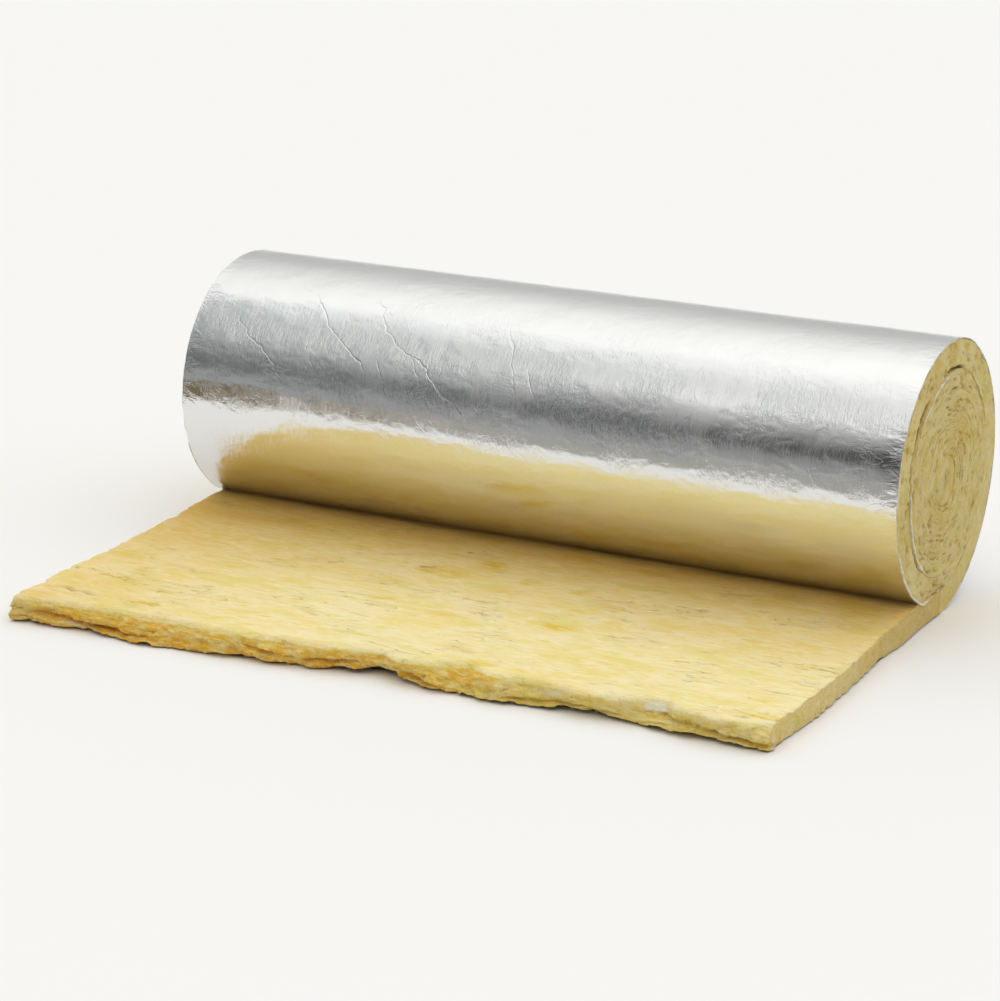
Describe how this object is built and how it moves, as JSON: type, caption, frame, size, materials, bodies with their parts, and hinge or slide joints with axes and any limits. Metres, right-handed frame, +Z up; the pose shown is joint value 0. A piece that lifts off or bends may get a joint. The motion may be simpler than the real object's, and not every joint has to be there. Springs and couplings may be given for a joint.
{
  "type": "insulation roll",
  "caption": "Foil-faced glass wool blanket in a roll lying on its side, foil outwards, with its loose end unrolled flat on the floor in front and roughly cut.",
  "frame": {"origin": "bottom centre of the whole piece, on the floor, halfway between the back of the roll and the front of the loose end", "axes": "+X along the axis of the roll, across the blanket; -Y towards the cut end of the loose stretch; +Z up"},
  "size_m": [1.2, 0.8738, 0.4175],
  "materials": {
    "glass_wool": "matte, fibrous, pale cream yellow with amber binder streaks",
    "reinforced_foil": "bright mirror-like foil with fine creases"
  },
  "bodies": {
    "root": {"wool_blanket": "glass_wool", "foil_facing": "reinforced_foil"}
  },
  "joints": []
}
